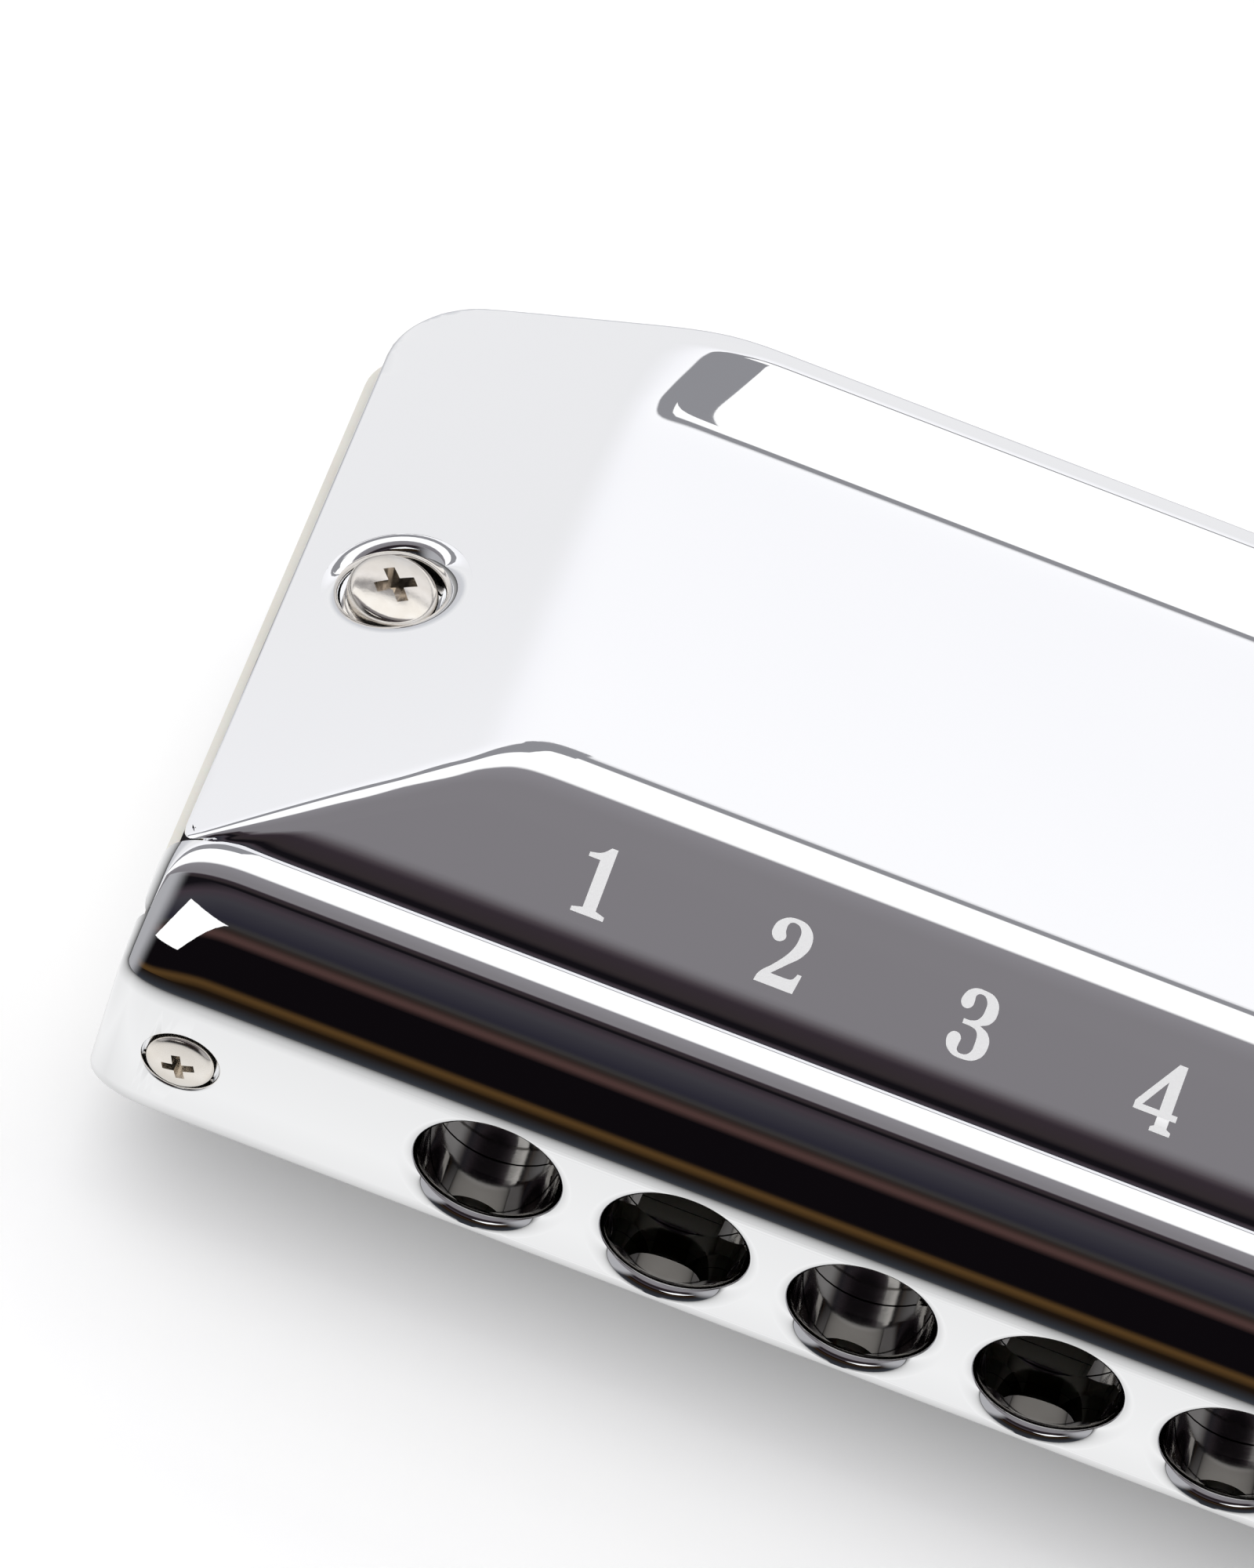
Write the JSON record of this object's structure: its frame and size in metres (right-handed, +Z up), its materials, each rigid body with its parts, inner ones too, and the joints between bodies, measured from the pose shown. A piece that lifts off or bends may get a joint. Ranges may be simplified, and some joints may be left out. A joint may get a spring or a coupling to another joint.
{
  "type": "chromatic harmonica",
  "caption": "Chromed slide chromatic harmonica: comb, riveted reed plates with valves, pressed covers, round-holed mouthpiece and a sprung slide with a button.",
  "frame": {"origin": "middle of the bounding box in plan, at the height of the lower cover's rear crest", "axes": "+X along the hole row from the low notes to the button, +Y from the mouthpiece to the rear, +Z up"},
  "size_m": [0.1526, 0.045, 0.028],
  "materials": {
    "comb_cream": "moulded, satin",
    "plate_brass": "satin",
    "reed_brass": "satin",
    "valve_film": "satin film",
    "slide_nickel": "drawn, nickel plated",
    "spring_steel": "drawn wire",
    "sleeve_white": "matt",
    "button_chrome": "polished",
    "mouthpiece_chrome": "polished",
    "cover_chrome": "polished",
    "screw_nickel": "polished, nickel plated"
  },
  "bodies": {
    "body": {"comb": "comb_cream", "upper_reed_plate": "plate_brass", "lower_reed_plate": "plate_brass", "upper_blow_reeds": "reed_brass", "upper_draw_reeds": "reed_brass", "lower_blow_reeds": "reed_brass", "lower_draw_reeds": "reed_brass", "upper_reed_rivets": "reed_brass", "lower_reed_rivets": "reed_brass", "upper_blow_valves": "valve_film", "upper_draw_valves": "valve_film", "lower_blow_valves": "valve_film", "lower_draw_valves": "valve_film", "upper_plate_screws": "screw_nickel", "lower_plate_screws": "screw_nickel", "slide_back_plate": "slide_nickel", "slide_channel": "slide_nickel", "slide_spring": "spring_steel", "slide_bumpers": "sleeve_white", "mouthpiece": "mouthpiece_chrome", "mouthpiece_screws": "screw_nickel", "upper_cover": "cover_chrome", "lower_cover": "cover_chrome", "upper_cover_screws": "screw_nickel", "lower_cover_screws": "screw_nickel"},
    "slide": {"slide": "slide_nickel", "button": "button_chrome", "button_rivet": "spring_steel"}
  },
  "joints": [
    {"name": "slide_travel", "type": "slide", "parent": "body", "child": "slide", "axis": [1, 0, 0], "range_m": [-0.0047, 0], "stiffness_N_per_m": 250, "springref_m": 0.006, "deforming": ["slide_spring"]}
  ]
}
